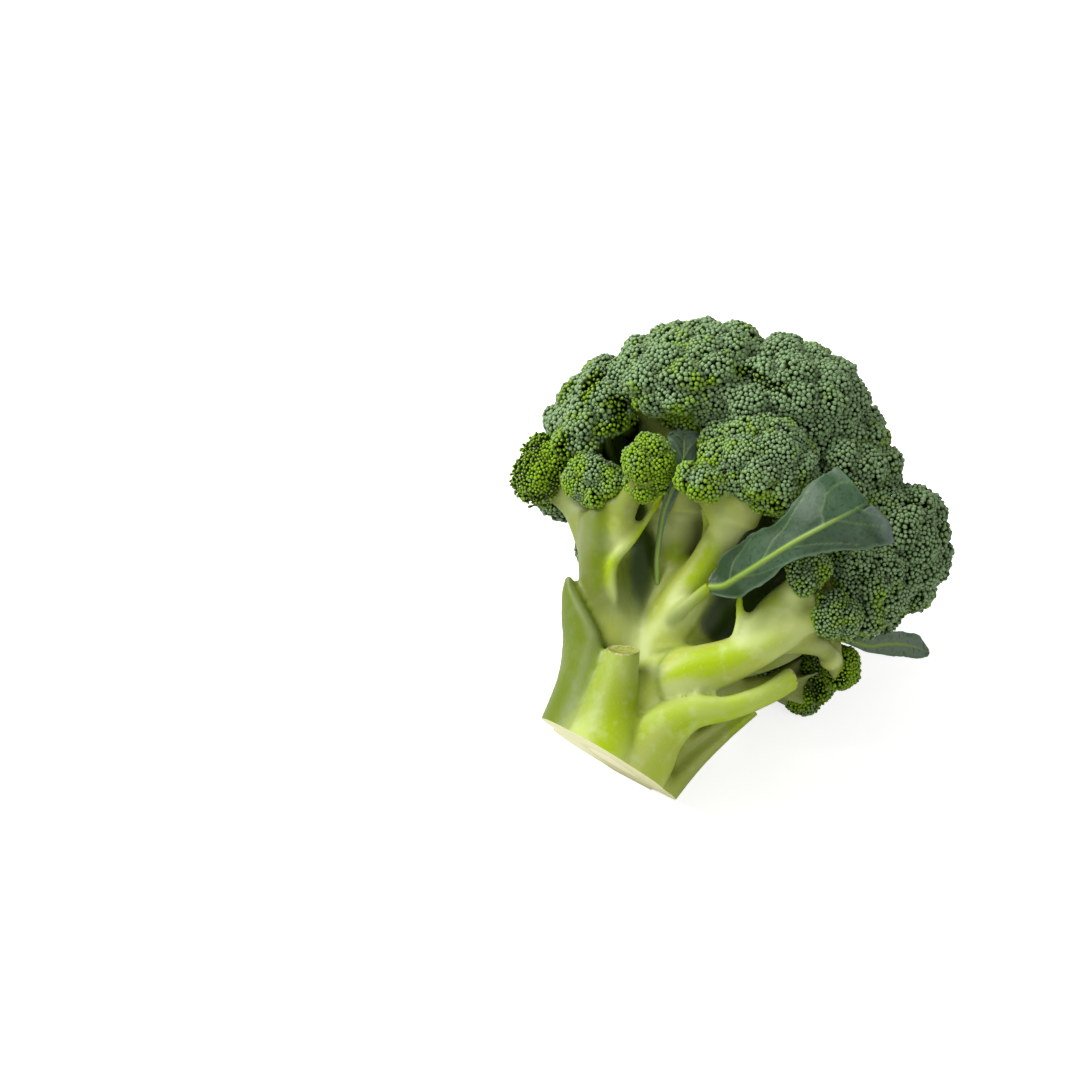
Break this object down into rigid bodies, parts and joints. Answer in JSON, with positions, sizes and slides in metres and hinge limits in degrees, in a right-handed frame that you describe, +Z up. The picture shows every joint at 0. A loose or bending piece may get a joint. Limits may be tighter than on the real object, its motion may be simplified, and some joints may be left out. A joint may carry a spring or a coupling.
{
  "type": "broccoli head",
  "caption": "Cut broccoli head lying on its side: a thick branching stalk with stubs of leaf stalks, a domed crown of budded florets and a few leaves.",
  "frame": {"origin": "on the surface that the head lies on, under the middle of its outline seen from above", "axes": "+Z up from the surface; +X is the way the stalk points, from its cut to the crown, seen from above"},
  "size_m": [0.1694, 0.1494, 0.1406],
  "materials": {
    "stalk": "satin, waxy fresh green stem",
    "floret": "matte, tight dark blue-green buds",
    "young_floret": "matte, looser yellow-green buds",
    "leaf": "waxy bloom over blue-green"
  },
  "bodies": {
    "root": {"stalk": "stalk", "leaf_large": "leaf", "leaf_small": "leaf", "leaf_low": "leaf", "floret_top": "floret", "floret_front_upper": "floret", "floret_front_top": "floret", "floret_left_shoulder": "floret", "floret_right_shoulder": "floret", "floret_right_far": "floret", "floret_back_right": "floret", "floret_back": "floret", "floret_back_left": "floret", "floret_left_back": "floret", "floret_far_left": "floret", "floret_left_ragged": "young_floret", "floret_small_left": "young_floret", "floret_small_centre": "floret", "floret_front": "floret", "floret_front_lobe": "floret", "floret_right": "floret", "floret_small_right": "young_floret", "floret_small_upper_right": "floret", "floret_small_low": "young_floret", "floret_low_right": "young_floret", "floret_low": "floret", "floret_low_left": "floret", "floret_low_back": "floret", "floret_low_far": "floret"}
  },
  "joints": []
}
